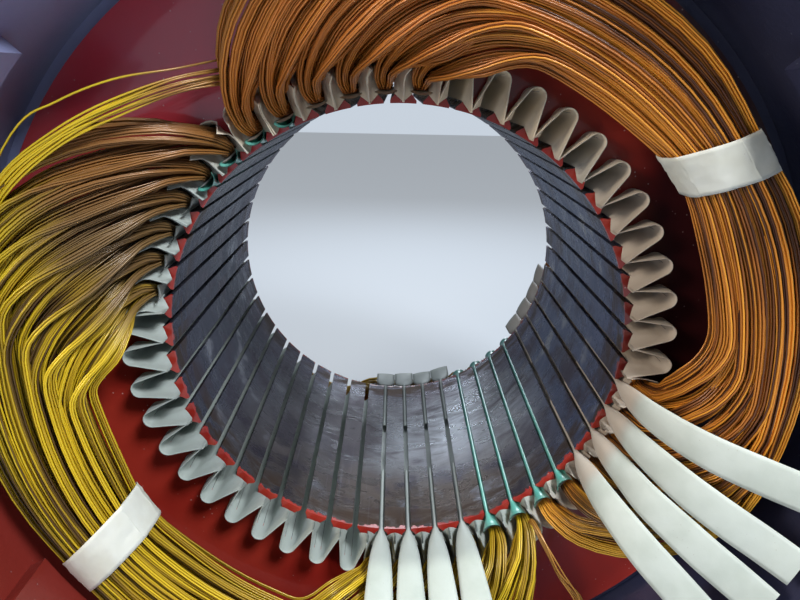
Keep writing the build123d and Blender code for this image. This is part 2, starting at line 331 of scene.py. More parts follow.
# %% Dust and grain groups
def new_group(name, inputs, output, kind):
    """A node group with float inputs after its vector, and one output."""
    group = bpy.data.node_groups.new(name, "ShaderNodeTree")
    group.interface.new_socket("Vector", in_out="INPUT", socket_type="NodeSocketVector")
    for label, value in inputs.items():
        socket = group.interface.new_socket(label, in_out="INPUT", socket_type="NodeSocketFloat")
        socket.default_value = value
    group.interface.new_socket(output, in_out="OUTPUT", socket_type=kind)
    return group, group.nodes.new("NodeGroupInput"), group.nodes.new("NodeGroupOutput")


def make_dust_group():
    """Round specks where a coarser noise allows them."""
    values = {"Scale": 150.0, "Size": 0.1, "Strength": 0.5}
    group, given, result = new_group("dust_specks", values, "Mask", "NodeSocketFloat")
    cells = group.nodes.new("ShaderNodeTexVoronoi")
    fade = group.nodes.new("ShaderNodeMapRange")
    fade.interpolation_type = "SMOOTHSTEP"
    fade.inputs["To Min"].default_value = 1.0
    fade.inputs["To Max"].default_value = 0.0
    half = group.nodes.new("ShaderNodeMath")
    half.operation = "MULTIPLY"
    half.inputs[1].default_value = 0.5
    some = group.nodes.new("ShaderNodeTexNoise")
    some.inputs["Scale"].default_value = 25.0
    sparse = group.nodes.new("ShaderNodeMapRange")
    sparse.inputs["From Min"].default_value = 0.45
    sparse.inputs["From Max"].default_value = 0.60
    both = group.nodes.new("ShaderNodeMath")
    both.operation = "MULTIPLY"
    weigh = group.nodes.new("ShaderNodeMath")
    weigh.operation = "MULTIPLY"
    for source, target in (
        (given.outputs["Vector"], cells.inputs["Vector"]), (given.outputs["Scale"], cells.inputs["Scale"]),
        (given.outputs["Size"], half.inputs[0]), (half.outputs[0], fade.inputs["From Min"]),
        (given.outputs["Size"], fade.inputs["From Max"]), (cells.outputs["Distance"], fade.inputs["Value"]),
        (given.outputs["Vector"], some.inputs["Vector"]), (some.outputs["Fac"], sparse.inputs["Value"]),
        (fade.outputs["Result"], both.inputs[0]), (sparse.outputs["Result"], both.inputs[1]),
        (both.outputs[0], weigh.inputs[0]), (given.outputs["Strength"], weigh.inputs[1]),
        (weigh.outputs[0], result.inputs["Mask"]),
    ):
        group.links.new(source, target)
    return group


def make_fibre_group():
    """A normal roughened by fine noise."""
    values = {"Scale": 700.0, "Strength": 0.1}
    group, given, result = new_group("surface_grain", values, "Normal", "NodeSocketVector")
    fibres = group.nodes.new("ShaderNodeTexNoise")
    fibres.inputs["Detail"].default_value = 2.0
    raised = group.nodes.new("ShaderNodeBump")
    raised.inputs["Distance"].default_value = 0.0003
    for source, target in (
        (given.outputs["Vector"], fibres.inputs["Vector"]), (given.outputs["Scale"], fibres.inputs["Scale"]),
        (fibres.outputs["Fac"], raised.inputs["Height"]),
        (given.outputs["Strength"], raised.inputs["Strength"]),
        (raised.outputs["Normal"], result.inputs["Normal"]),
    ):
        group.links.new(source, target)
    return group


dust_group = make_dust_group()
grain_group = make_fibre_group()

# %% Placing a group in a material
def place_group(material, group, vector, **values):
    """Places a group in a material with its own values."""
    node = material.node_tree.nodes.new("ShaderNodeGroup")
    node.node_tree = group
    link(material, vector, node.inputs["Vector"])
    for label, value in values.items():
        node.inputs[label].default_value = value
    return node.outputs[0]


def dust(material, vector, scale, size, strength):
    """A mask of sparse pale specks."""
    return place_group(material, dust_group, vector, Scale=scale, Size=size, Strength=strength)


def grain(material, vector, scale, strength):
    """A normal with a fine grain."""
    return place_group(material, grain_group, vector, Scale=scale, Strength=strength)


print("groups:", [group.name for group in bpy.data.node_groups])

# %% [markdown]
# ## Core material
#
# The end faces carry thick red enamel, which creeps up to four millimetres over the edge of the bore.
# The bore is bare, ground steel with smears, fine scratches and a faint blue film.
# Some of its light and dark patches, and those of the enamel, are painted by place after the photo.
# They stay where they are under another light, which lamps alone could not have done as closely.

# %% Core material
lamination_pitch = 0.00065


def core_material():
    """Red enamel on the end faces and over the edge, bare steel in the bore."""
    material, shader = new_material("lamination_steel", IOR=1.5)
    place = object_coordinates(material)
    unrolled, _, y = around_bore(material, place)
    beyond = math_node(material, "ABSOLUTE", y)
    face = ramp(material, beyond, 0.12085, 0.12095)
    ragged = noise(material, stretched(material, unrolled, (150, 60, 1)), 1.0, 3, 0.6)
    edge = ramp(material, ragged, 0.40, 0.66, 0.1206, 0.1168)
    creep = math_node(material, "GREATER_THAN", beyond, edge)
    red = math_node(material, "MAXIMUM", face, creep)

    film = noise(material, stretched(material, unrolled, (9, 5, 1)), 1.0, 3)
    smear = noise(material, stretched(material, unrolled, (22, 60, 1)), 1.0, 5, 0.65, 0.8)
    patch = noise(material, unrolled, 26, 4, 0.6)
    drawn = noise(material, stretched(material, unrolled, (420, 9, 1)), 1.0, 3)
    x, z = parts_of(material, place, "X"), parts_of(material, place, "Z")
    steel = mix(material, ramp(material, film, 0.35, 0.65), (0.140, 0.150, 0.215), (0.235, 0.225, 0.250))
    # Painted shade by side: bluish on the right of the bore, darker on its left.
    steel = mix(material, ramp(material, x, 0.05, 0.14), steel, (0.125, 0.150, 0.255))
    steel = mix(material, ramp(material, x, -0.09, -0.15), steel, (0.085, 0.090, 0.130))
    floor_part = times(material, ramp(material, z, -0.07, -0.14), ramp(material, y, 0.02, -0.08))
    steel = mix(material, floor_part, steel, (0.190, 0.155, 0.140))
    steel = mix(material, ramp(material, patch, 0.48, 0.64), steel, (0.085, 0.070, 0.105))
    steel = mix(material, ramp(material, patch, 0.44, 0.32), steel, (0.340, 0.350, 0.400))
    # A painted highlight low in the bore: bright blue-white streaks, weaker to the left.
    lit = times(material, ramp(material, z, -0.07, -0.125), ramp(material, y, -0.085, 0.0, 0.0, 0.8))
    lit = times(material, lit, ramp(material, x, -0.085, -0.030, 0.15, 1.0))
    broad = math_node(material, "MULTIPLY_ADD", film, 0.6, times(material, smear, 0.4))
    painted_highlight = mix(material, ramp(material, broad, 0.45, 0.60), (0.86, 0.90, 0.97), (0.14, 0.125, 0.140))
    shadow = times(material, ramp(material, x, -0.025, -0.060), ramp(material, z, -0.06, -0.12, 0.0, 0.6))
    shadow = times(material, shadow, ramp(material, film, 0.40, 0.60))
    steel = mix(material, shadow, steel, (0.055, 0.048, 0.055))
    steel = mix(material, lit, steel, painted_highlight)
    far_tint = times(material, ramp(material, y, 0.05, 0.12), 0.4)
    steel = mix(material, far_tint, steel, (0.180, 0.130, 0.210))
    near_edge = ramp(material, beyond, 0.070, 0.112)
    brown = times(material, near_edge, ramp(material, smear, 0.46, 0.60))
    steel = mix(material, brown, steel, (0.085, 0.052, 0.034))
    steel = mix(material, ramp(material, drawn, 0.62, 0.80, 0.0, 0.35), steel, (0.45, 0.45, 0.50))
    steel = mix(material, ramp(material, drawn, 0.38, 0.22, 0.0, 0.45), steel, (0.07, 0.06, 0.07))

    blotch = noise(material, place, 14, 3)
    enamel = mix(material, ramp(material, blotch, 0.3, 0.7), (0.28, 0.014, 0.010), (0.40, 0.034, 0.020))
    # Painted sheen: a pinker, brighter red at the upper left of the face.
    painted_sheen = times(material, ramp(material, x, -0.04, -0.12), ramp(material, z, 0.08, 0.16, 0.0, 0.8))
    enamel = mix(material, painted_sheen, enamel, (0.78, 0.045, 0.075))
    # Painted light: a brighter red low on the right of the face.
    painted_light_red = times(material, ramp(material, x, 0.02, 0.06), ramp(material, z, -0.14, -0.18, 0.0, 0.8))
    enamel = mix(material, painted_light_red, enamel, (0.58, 0.035, 0.020))
    shaded = times(material, ramp(material, x, 0.13, 0.165), ramp(material, z, -0.17, -0.13, 0.0, 0.94))
    enamel = mix(material, shaded, enamel, (0.016, 0.004, 0.006))
    enamel = mix(material, dust(material, place, 170, 0.11, 0.6), enamel, (0.75, 0.6, 0.55))

    link(material, mix(material, red, steel, enamel), shader.inputs["Base Color"])
    link(material, math_node(material, "MULTIPLY_ADD", red, -0.80, 0.80), shader.inputs["Metallic"])
    rough = ramp(material, smear, 0.3, 0.7, 0.20, 0.42)
    rough = math_node(material, "MULTIPLY_ADD", red, math_node(material, "SUBTRACT", 0.30, rough), rough)
    link(material, rough, shader.inputs["Roughness"])
    link(material, times(material, face, 0.7), shader.inputs["Coat Weight"])
    shader.inputs["Coat Roughness"].default_value = 0.07
    runs = noise(material, place, 130, 2)
    lamination = math_node(material, "SINE", times(material, y, 2 * math.pi / lamination_pitch))
    height = mix(material, red, lamination, runs)
    link(material, bump(material, height, 0.35, 0.0004), shader.inputs["Normal"])
    return material


lamination_steel = core_material()
print("core material:", len(lamination_steel.node_tree.nodes), "nodes")

# %% [markdown]
# ## Paper, tape and film materials
#
# Slot paper is pressed smooth, so it is matt with soft creases. Near the face it carries painted shade, and
# painted warm light on the right and at the top.
# Tape is the same paper, more wrinkled. The film over finished slots is green and glossy.
# A scanned picture of paper could do this, but noise in the object's own coordinates needs no unwrapping.

# %% Paper, tape and film
def paper_material(name, colour, stain, wrinkle, warm=None):
    """Calendered paper: fine fibres, faint stains, soft creases and a little light coming through."""
    material, shader = new_material(name, Roughness=0.55, IOR=1.45)
    place = object_coordinates(material)
    cloud = noise(material, place, 45, 3)
    base = mix(material, ramp(material, cloud, 0.35, 0.75), colour, stain)
    if warm is not None:
        x, z = parts_of(material, place, "X"), parts_of(material, place, "Z")
        # A warm tint near the face, darker on the right and lighter at the top: painted warm light.
        painted_warm_light = math_node(material, "MAXIMUM", ramp(material, x, 0.06, 0.15), ramp(material, z, 0.09, 0.14))
        beyond = math_node(material, "ABSOLUTE", parts_of(material, place, "Y"))
        # Near the face the liners are darker: painted shade.
        close = ramp(material, beyond, 0.147, 0.160, 1.0, 0.12)
        base = mix(material, times(material, close, 0.8), base, (0.35, 0.39, 0.37))
        top = ramp(material, z, 0.10, 0.15)
        tinted = times(material, painted_warm_light, close)
        base = mix(material, tinted, base, mix(material, top, warm, (0.82, 0.70, 0.52)))
    base = mix(material, dust(material, place, 260, 0.10, 0.35), base, (0.30, 0.26, 0.20))
    link(material, base, shader.inputs["Base Color"])
    link(material, ramp(material, cloud, 0.3, 0.7, 0.48, 0.64), shader.inputs["Roughness"])
    crease = noise(material, place, 75, 2, 0.4)
    fine = grain(material, place, 650, 0.16)
    link(material, bump(material, crease, wrinkle, 0.002, fine), shader.inputs["Normal"])
    shader.inputs["Sheen Weight"].default_value = 0.1
    shader.inputs["Subsurface Weight"].default_value = 0.12
    shader.inputs["Subsurface Radius"].default_value = (0.004, 0.004, 0.003)
    shader.inputs["Subsurface Scale"].default_value = 1.0
    return material


def film_material():
    """Green polyester film, glossy and a little cloudy."""
    material, shader = new_material("cap_film", Roughness=0.3, IOR=1.55)
    place = object_coordinates(material)
    cloud = noise(material, place, 60, 3)
    base = mix(material, ramp(material, cloud, 0.3, 0.7), (0.075, 0.36, 0.30), (0.16, 0.50, 0.42))
    base = mix(material, dust(material, place, 300, 0.10, 0.4), base, (0.55, 0.62, 0.55))
    link(material, base, shader.inputs["Base Color"])
    shader.inputs["Coat Weight"].default_value = 0.4
    shader.inputs["Coat Roughness"].default_value = 0.12
    link(material, bump(material, cloud, 0.2, 0.001), shader.inputs["Normal"])
    return material


slot_paper = paper_material("slot_paper", (0.60, 0.67, 0.60), (0.50, 0.57, 0.50), 0.14, (0.56, 0.475, 0.38))
paper_tape = paper_material("paper_tape", (0.73, 0.74, 0.66), (0.64, 0.64, 0.54), 0.30)
cap_film = film_material()
print("paper, tape and film ready")

# %% [markdown]
# ## Wire materials
#
# The enamel is amber on the right group and yellow on the left one.
# Each wire has its own shade from dark to bright, painted shade and light that set the strands apart. The
# leads of the left group are browner, darker low down: painted shade and a painted reflection of the red
# enamel.

# %% Wire materials
def distance_to(material, vector, point):
    """Distance from a fixed point."""
    node = material.node_tree.nodes.new("ShaderNodeVectorMath")
    node.operation = "DISTANCE"
    link(material, vector, node.inputs[0])
    node.inputs[1].default_value = point
    return node.outputs["Value"]


def wire_material(
    name, bright, middle, dark, contrast_ends, calm_centre, place_colour, place_colour_low, place_centre, place_near, place_far
):
    """Enamelled wire: a clear coat over a tinted metal, with a shade of its own for each wire."""
    material, shader = new_material(name, Roughness=0.40, Metallic=0.15, IOR=1.5)
    place = object_coordinates(material)
    own = material.node_tree.nodes.new("ShaderNodeAttribute")
    own.attribute_name = "shade"
    shade = own.outputs["Fac"]
    along = noise(material, place, 16, 2)
    tone = math_node(material, "MULTIPLY_ADD", along, 0.5, math_node(material, "SUBTRACT", shade, 0.25))
    calm = ramp(material, distance_to(material, place, calm_centre), 0.06, 0.11, 0.6, 0.0)
    even = times(material, calm, math_node(material, "SUBTRACT", 0.46, tone))
    tone = math_node(material, "ADD", tone, even)
    # Towards the outer side of each group the tones are pushed darker and brighter: painted shade between
    # the strands and painted highlights on them.
    strong = ramp(material, parts_of(material, place, "X"), *contrast_ends)
    darker = math_node(material, "MULTIPLY_ADD", strong, -0.20, tone)
    brighter = math_node(material, "MULTIPLY_ADD", strong, 0.14, tone)
    tint = mix(material, ramp(material, darker, 0.05, 0.32), dark, middle)
    tint = mix(material, ramp(material, brighter, 0.48, 0.88), tint, bright)
    # By place a second colour takes over: on the yellow wire, painted shade and a painted reflection of the
    # red enamel on the left leads, darker low down; on the amber wire, a yellower tint low on the right.
    reach = math_node(material, "MULTIPLY_ADD", shade, -0.035, distance_to(material, place, place_centre))
    by_place = ramp(material, reach, place_near, place_far, 0.9, 0.0)
    # Stray wires, with shades above 1, take that painted shade and reflection by X instead: brown on their
    # right part only.
    stray = ramp(material, shade, 1.0, 1.02)
    stray_by_place = ramp(material, parts_of(material, place, "X"), -0.155, -0.120, 0.0, 0.85)
    by_place = math_node(material, "MULTIPLY_ADD", stray, math_node(material, "SUBTRACT", stray_by_place, by_place), by_place)
    place_colour_here = mix(material, ramp(material, parts_of(material, place, "Z"), 0.125, 0.075), place_colour, place_colour_low)
    place_colour_here = mix(material, stray, place_colour_here, place_colour)
    place_tint = mix(material, ramp(material, tone, -0.2, 0.7), dark, place_colour_here)
    base = mix(material, by_place, tint, place_tint)
    base = mix(material, dust(material, place, 420, 0.12, 0.25), base, (0.70, 0.62, 0.45))
    link(material, base, shader.inputs["Base Color"])
    shader.inputs["Coat Weight"].default_value = 0.30
    shader.inputs["Coat Roughness"].default_value = 0.18
    return material


amber_wire = wire_material(
    "amber_wire", bright=(0.84, 0.35, 0.035), middle=(0.53, 0.172, 0.024), dark=(0.09, 0.030, 0.012),
    contrast_ends=(0.0, 0.16), calm_centre=(-0.04, -0.15, 0.185), place_colour=(0.60, 0.36, 0.03),
    place_colour_low=(0.60, 0.36, 0.03), place_centre=(0.19, -0.17, -0.17), place_near=0.03, place_far=0.11,
)
yellow_wire = wire_material(
    "yellow_wire", bright=(0.76, 0.53, 0.016), middle=(0.42, 0.26, 0.012), dark=(0.09, 0.045, 0.010),
    contrast_ends=(-0.12, -0.22), calm_centre=(-0.13, -0.16, 0.09), place_colour=(0.33, 0.125, 0.035),
    place_colour_low=(0.17, 0.095, 0.048), place_centre=(-0.115, -0.16, 0.10), place_near=0.050, place_far=0.088,
)
print("wire materials ready")

# %% [markdown]
# ## Housing, feet and eyes
#
# Dark blue machine paint over a cast surface, and forged steel eyes with the same paint rubbed thin.
# The enamel that is poured over the core also runs into the housing below it.
# One function makes both, with its own colours, because the paint's coat and grain are the same.

# %% Paint materials
housing_inside_radius = 0.2757


def paint_material(name, colour, worn, roughness, enamel_below=None):
    """Machine paint over a cast surface. Inside, the housing also has red enamel below and a painted bluish
    reflection at the upper left.
    """
    material, shader = new_material(name, IOR=1.5)
    place = object_coordinates(material)
    cloud = noise(material, place, 9, 4)
    cast = noise(material, place, 260, 3)
    base = mix(material, ramp(material, cloud, 0.35, 0.7), colour, worn)
    if enamel_below is not None:
        _, radius, _ = around_bore(material, place)
        z = math_node(material, "MULTIPLY_ADD", cloud, 0.05, parts_of(material, place, "Z"))
        inside = math_node(material, "LESS_THAN", radius, housing_inside_radius)
        low = ramp(material, z, enamel_below + 0.005, enamel_below - 0.005)
        left = ramp(material, parts_of(material, place, "X"), 0.02, -0.02)
        low = times(material, low, left)
        base = mix(material, times(material, inside, low), base, (0.20, 0.022, 0.016))
        # A painted reflection: pale blue on the inside wall at the upper left, in the near half.
        leftwards = ramp(material, parts_of(material, place, "X"), -0.06, -0.16)
        painted_reflection = times(material, leftwards, ramp(material, z, 0.07, 0.16))
        near_half = ramp(material, parts_of(material, place, "Y"), 0.0, -0.10)
        painted_reflection = times(material, painted_reflection, times(material, near_half, inside))
        base = mix(material, painted_reflection, base, (0.32, 0.35, 0.58))
    base = mix(material, dust(material, place, 130, 0.09, 0.35), base, (0.4, 0.42, 0.45))
    link(material, base, shader.inputs["Base Color"])
    rough = ramp(material, cloud, 0.3, 0.75, roughness, roughness + 0.18)
    link(material, rough, shader.inputs["Roughness"])
    shader.inputs["Coat Weight"].default_value = 0.35
    shader.inputs["Coat Roughness"].default_value = 0.15
    fine = grain(material, place, 900, 0.2)
    link(material, bump(material, cast, 0.30, 0.0008, fine), shader.inputs["Normal"])
    return material


housing_paint = paint_material("housing_paint", (0.026, 0.030, 0.072), (0.045, 0.048, 0.095), 0.28, -0.06)
eye_steel = paint_material("eye_steel", (0.022, 0.028, 0.055), (0.10, 0.105, 0.115), 0.34)
print("paint materials ready")

# %% [markdown]
# ## Coils
#
# A coil is 96 closed loops of wire 1.23 mm thick, wound by hand.
# Wires that lie together in the slot stay together as a strand, and where the end turn is loose
# the strands drift apart and cross each other at small angles.
# Half an end turn follows a spline: out of the slot, outwards over the liner, then round into the band.
# Bevelled curves could make the same tubes, but arrays of points let a thousand wires share one rule.

# %% Places of the wires in a slot
wire_radius = 0.000615
half_slot_width = 0.0046
slot_top, slot_depth = 0.1586, 0.0182
near_rings, far_rings = 31, 19


def slot_places():
    """Places of the wires in a slot: across it and their radius."""
    places = []
    step = 0.00139
    row_step = step * 0.866
    wall = 0.0014
    radius = slot_top
    row = 0
    while radius < slot_top + slot_depth:
        if radius < round_centre_radius:
            along = (radius - mouth_radius) / (round_centre_radius - mouth_radius)
            half = mouth_half_width + along * (round_half_width - mouth_half_width) - wall
        else:
            half = math.sqrt(max((round_half_width - wall) ** 2 - (radius - round_centre_radius) ** 2, 0))
        count = int(2 * half / step) + 1
        if count % 2 == row % 2 and count > 1:
            count -= 1
        for i in range(count):
            places.append(((i - (count - 1) / 2) * step, radius))
        radius += row_step
        row += 1
    return np.array(places)


places = slot_places()
across = places[:, 0] / half_slot_width
down = (places[:, 1] - slot_top) / slot_depth
wire_count = len(places)
outside = (np.abs(across) > 0.55) | (down < 0.2) | (down > 0.82)
print(wire_count, "wires in a coil,", outside.sum(), "of them on its outside")

# %% Strands
strand_columns, strand_rows = 3, 5


def make_strands():
    """The strand of each wire, from the nearest of some uneven seeds."""
    random = np.random.default_rng(3)
    seeds = []
    for row in range(strand_rows):
        for column in range(strand_columns):
            uneven = random.uniform(-0.5, 0.5, 2)
            seed_across = -0.66 + 0.66 * column + 0.35 * uneven[0]
            seed_down = (row + 0.5 + 0.6 * uneven[1]) / strand_rows
            seeds.append((seed_across, seed_down))
    seeds = np.array(seeds)
    distance = np.hypot(
        (across[:, None] - seeds[None, :, 0]) * half_slot_width,
        (down[:, None] - seeds[None, :, 1]) * slot_depth,
    )
    return distance.argmin(axis=1)


strand = make_strands()
strand_count = strand_columns * strand_rows
strand_across = np.array([across[strand == strand[w]].mean() for w in range(wire_count)])
strand_down = np.array([down[strand == strand[w]].mean() for w in range(wire_count)])


def fan_places():
    """A place from -1 to 1 for each wire's strand, all different, for a bundle spread into a fan."""
    middles = np.array([across[strand == s].mean() + 0.30 * math.sin(2.4 * s) for s in range(strand_count)])
    rank = middles.argsort().argsort()
    return (2 * rank / (strand_count - 1) - 1)[strand]


strand_fan = fan_places()
print(strand_count, "strands of", round(wire_count / strand_count, 1), "wires")

# %% Half an end turn
line_points = 400
coils_a_side = 6
# Shares of a lead's rise, turn and depth on its way from the slot to the band.
# The near leads are pulled flat, and the far ones stand out further first.
lead_shapes = {
    "near": (
        (0.0, 0.0, 0.05, 0.18, 0.36, 0.58, 0.82, 1.0),
        (0.0, 0.0, 0.02, 0.09, 0.22, 0.40, 0.65, 1.0),
        (-0.06, 0.09, 0.26, 0.48, 0.68, 0.85, 0.96, 1.0),
    ),
    "far": (
        (0.0, 0.0, 0.01, 0.10, 0.27, 0.52, 0.80, 1.0),
        (0.0, 0.0, 0.03, 0.11, 0.25, 0.42, 0.66, 1.0),
        (-0.06, 0.13, 0.36, 0.61, 0.80, 0.93, 0.99, 1.0),
    ),
}


def lead_keys(band_radius, band_depth, half_span, lead, shape, early):
    """Keys of half an end turn's middle line: radius, angle from the group's centre and depth."""
    slot_radius = 0.1675
    rise = band_radius - slot_radius
    keys = [
        (slot_radius + rise * r, half_span - lead * (a + early * r * (1 - a)), band_depth * d)
        for r, a, d in zip(*lead_shapes[shape])
    ]
    left = half_span - lead
    steps = max(2, round(left / math.radians(7)))
    for i in range(1, steps + 1):
        keys.append((band_radius, left * (1 - i / steps), band_depth))
    return keys


# Per group: the inner coil's radius in the band, the step to the next coil,
# and the bundle's half width, half thickness and depth
band_shape = {
    "right": (0.1930, 0.0078, 0.0080, 0.0112, 0.0490),
    "left": (0.1940, 0.0098, 0.0094, 0.0125, 0.0510),
}


def heading(line):
    """Unit vectors along and across the way that a middle line heads, seen along the bore."""
    x, z = line[:, 0] * np.cos(line[:, 1]), line[:, 0] * np.sin(line[:, 1])
    dx, dz, dd = np.gradient(x), np.gradient(z), np.gradient(line[:, 2])
    step = np.sqrt(dx**2 + dz**2 + dd**2)
    out_x, out_z = np.cos(line[:, 1]), np.sin(line[:, 1])
    hold = 0.3 * step * (1 - smooth(line[:, 2], 0.004, 0.03))
    px, pz = dx + hold * out_x, dz + hold * out_z
    size = np.hypot(px, pz)
    px, pz = px / size, pz / size
    nx, nz = -pz, px
    flip = np.sign(nz * out_x - nx * out_z)
    flip[flip == 0] = 1
    turned = nx * out_x + nz * out_z
    keep = np.where(np.abs(turned) > 0.5, np.sign(turned), flip)
    rise = np.arctan2(np.hypot(dx, dz), dd)
    rise[line[:, 2] < 0.002] = 0
    course = np.unwrap(np.arctan2(pz, px))
    bend = np.abs(np.gradient(rise)) / math.radians(14) + np.abs(np.gradient(course)) / math.radians(11)
    return x, z, px, pz, nx * keep, nz * keep, rise, np.cumsum(step / 0.012 + bend)

# %% Wires of half an end turn
def half_turn(c, side, rings, end="near", grow=0.0, shallow=1.0):
    """Half an end turn of coil c: (wires, rings) of radius, angle from the group's centre and depth."""
    half_span = slot_pitch * (6.5 + c)
    first_radius, radius_step, spread, thick, first_depth = band_shape[side]
    band_radius = first_radius + radius_step * c + grow
    band_depth = (first_depth + 0.011 * math.sin(math.pi * (c + 0.6) / coils_a_side)) * shallow
    lead = math.radians(15 + 2.2 * c)
    early = 0.0
    if end == "near" and side == "right":
        lead = math.radians(18 + 1.8 * c)
    elif end == "near":
        lead = math.radians(17 + 2.2 * c)
        early = 0.30
    line = spline(lead_keys(band_radius, band_depth, half_span, lead, end, early), line_points)
    x, z, px, pz, nx, nz, rise, measure = heading(line)
    pick = np.interp(np.linspace(measure[0], measure[-1], rings), measure, np.arange(line_points))

    def at(values):
        return np.interp(pick, np.arange(line_points), values)

    x, z, depth, angle = at(x), at(z), at(line[:, 2]), at(line[:, 1])
    px, pz, nx, nz, rise = at(px), at(pz), at(nx), at(nz), at(rise)
    loose = smooth(depth / band_depth, 0.15, 0.95)
    lay = smooth(depth / band_depth, 0.05, 0.75)
    lead_part = np.clip((half_span - angle) / lead, 0, 1)
    fan = smooth(lead_part, 0.0, 0.22) * (1 - smooth(lead_part, 0.4, 1.0)) * loose
    start = smooth(depth, 0.001, 0.018) * (1 - loose) * (1.0 if end == "near" else 0.2)
    fan_width = 0.0085 if end == "near" and side == "left" else 0.0062
    half_across = half_slot_width + 0.0034 * start + (spread - half_slot_width) * loose + fan_width * fan
    half_down = (slot_depth / 2 + (thick - slot_depth / 2) * lay) * (1 - 0.34 * start)
    own_across = (across - strand_across)[:, None] * half_slot_width
    own_down = 2 * (strand_down - down)[:, None] * slot_depth / 2
    flat = np.maximum(0.45 * loose + 0.45 * fan, 0.35 * start)
    a = (strand_across[:, None] * (1 - flat) + strand_fan[:, None] * flat) * half_across[None, :]
    a = a + own_across * (1 + 0.10 * loose)[None, :]
    thinner = 0.40 if end == "near" else 0.20
    b = (1 - 2 * strand_down[:, None]) * half_down[None, :] * (1 - thinner * fan)
    b = b + own_down * (1 - 0.2 * start)
    gx = x + a * nx - b * np.cos(rise) * px
    gz = z + a * nz - b * np.cos(rise) * pz
    return np.hypot(gx, gz), np.arctan2(gz, gx), depth + b * np.sin(rise), loose


radius, angle, depth, loose = half_turn(5, "right", near_rings)
reached = np.round([radius.max() * 1000, depth.max() * 1000], 1)
print("outer coil reaches a radius of", reached[0], "mm and a depth of", reached[1], "mm")

# %% Whole end turns and closed paths
group_centre = {"right": math.radians(37.5), "left": math.radians(217.5)}
tape_angle = {"right": math.radians(36.7), "left": math.radians(212.9)}
tape_middle = {"right": 0.2088, "left": 0.2160}
tape_squeeze = {"right": 0.20, "left": 0.10}


def drift(random, share, rows, size):
    """Slow sideways drifts along an end turn, one for each row, with long waves only."""
    total = 0
    for wave in (1, 2, 3):
        start = random.uniform(0, 2 * math.pi, (rows, 1))
        height = random.uniform(0.5, 1.0, (rows, 1))
        total = total + np.cos(math.pi * wave * share[None, :] + start) * height / wave
    return size * total


def end_turn(c, side, seed, rings, **shape):
    """A whole end turn of coil c, from its higher-angle slot to its lower one: radius, angle and depth."""
    random = np.random.default_rng(seed)
    radius, angle, depth, loose = half_turn(c, side, rings, **shape)
    radius = np.concatenate([radius, radius[:, -2::-1]], axis=1)
    angle = np.concatenate([angle, -angle[:, -2::-1]], axis=1) + group_centre[side]
    depth = np.concatenate([depth, depth[:, -2::-1]], axis=1)
    loose = np.concatenate([loose, loose[-2::-1]])
    middle = angle.mean(axis=0)
    share = (middle[0] - middle) / (middle[0] - middle[-1])
    near_tape = np.exp(-(((angle - tape_angle[side]) / math.radians(9)) ** 2))
    envelope = (loose**1.3)[None, :] * (1 - 0.5 * near_tape)
    for values, together, alone in ((radius, 0.0016, 0.00035), (depth, 0.0017, 0.0004)):
        moved = drift(random, share, strand_count, together)[strand]
        moved = moved + drift(random, share, wire_count, alone)
        values += moved * envelope
    radius = tape_middle[side] + (radius - tape_middle[side]) * (1 - tape_squeeze[side] * near_tape)
    return radius, angle, depth


def coil_paths(c, side):
    """Closed paths of the wires of coil c, (wires, rings, 3)."""
    seed = 40 * (side == "left") + 3 * c + 7
    radius, angle, depth = end_turn(c, side, seed, near_rings)
    near = polar(radius, angle, -face_y - depth)
    radius, angle, depth = end_turn(c, side, seed + 1, far_rings, end="far", grow=0.004, shallow=0.92)
    far = polar(radius, angle, face_y + depth)[:, ::-1]
    return np.concatenate([near, far], axis=1)


tape_degrees = [round(math.degrees(angle), 1) for angle in tape_angle.values()]
print("the tape pulls each group together at", tape_degrees, "degrees")

# %% [markdown]
# ## Stray wires
#
# A few wires run from under the right group's last fan across the gap to the left group,
# and a thin bunch crosses the face below, between two finished slots.
# Each is an open tube between two given lines, so the bunch spreads as it goes.

# %% Stray wires
stray_points = 40
# Lines of (radius in mm, angle in degrees, depth in mm)
crossing_low = [
    (176, 112, 10), (183.0, 119.5, 24), (194, 127.0, 42), (205.5, 136.2, 54),
    (219.6, 145.4, 61), (235.6, 157.7, 62), (240, 170, 52),
]
crossing_high = [
    (186, 111, 12), (195.0, 119.5, 26), (202.0, 126.5, 44), (210.5, 133.4, 56),
    (225, 143.0, 62), (239.8, 153.9, 63), (244, 168, 52),
]
lone_wire = [
    (188, 110, 12), (197.0, 119.5, 28), (205, 126.0, 47), (217.0, 132.4, 58),
    (232.2, 139.8, 60), (241.2, 146.1, 60), (249, 162, 52),
]
bunch_low = [
    (170, -56, 6), (162, -53.4, 17), (172, -52.6, 30), (192, -53.6, 39), (218.5, -53.4, 44), (240, -59, 40),
]
bunch_high = [
    (172, -56.5, 4), (164, -54.4, 15), (174, -54.2, 28), (193, -55.2, 37), (219, -55.0, 42), (240, -61, 38),
]


def stray_paths(low, high, count, rings, seed):
    """Open paths spread between two lines."""
    random = np.random.default_rng(seed)
    low, high = np.array(low, float), np.array(high, float)
    paths = []
    for i in range(count):
        part = (i + 0.5 + random.uniform(-0.4, 0.4)) / count
        keys = low + (high - low) * part + random.normal(0, 1, low.shape) * [0.7, 0.25, 0.9]
        radius, angle, depth = spline(keys, rings).T
        paths.append(polar(radius / 1000, np.radians(angle), -face_y - depth / 1000))
    return np.array(paths)


strays = [
    stray_paths(crossing_low, crossing_high, 12, stray_points, 1),
    stray_paths(lone_wire, lone_wire, 1, stray_points, 2),
    stray_paths(bunch_low, bunch_high, 7, stray_points, 4),
]
print(sum(len(group) for group in strays), "stray wires")

